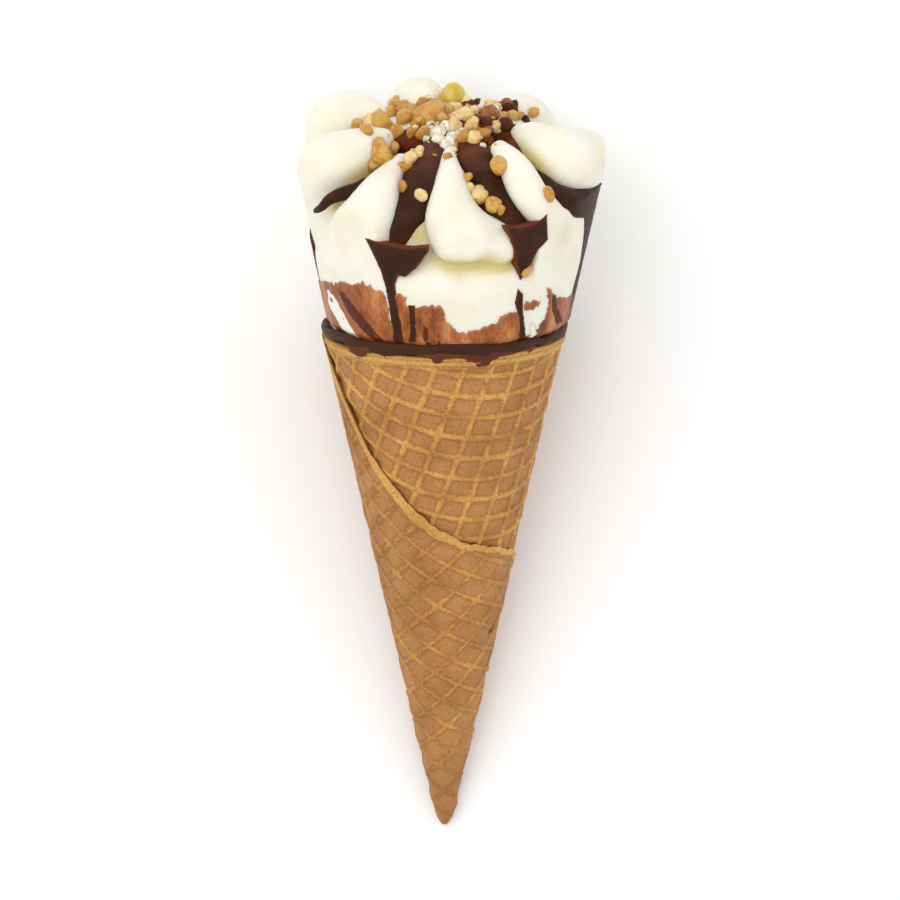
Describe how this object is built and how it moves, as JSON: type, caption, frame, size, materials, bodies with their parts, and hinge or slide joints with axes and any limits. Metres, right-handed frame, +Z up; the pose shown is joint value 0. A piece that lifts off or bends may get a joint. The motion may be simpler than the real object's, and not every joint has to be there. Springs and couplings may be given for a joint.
{
  "type": "ice cream cone",
  "caption": "Sugar cone of rolled waffle with piped ice cream, chocolate sauce and nut pieces, lying on its back.",
  "frame": {"origin": "centre of the bounding box, on the floor that the lying cone rests on", "axes": "+Y from the cone's tip towards the ice cream, +Z up, the shown side faces +Z, +X to the right of the picture"},
  "size_m": [0.0614, 0.1554, 0.0593],
  "materials": {
    "wafer": "matt baked wafer",
    "chocolate": "satin dark chocolate",
    "ice_cream": "soft matt ice cream"
  },
  "bodies": {
    "root": {"waffle_cone": "wafer", "chocolate_lining": "chocolate", "ice_cream": "ice_cream"}
  },
  "joints": []
}
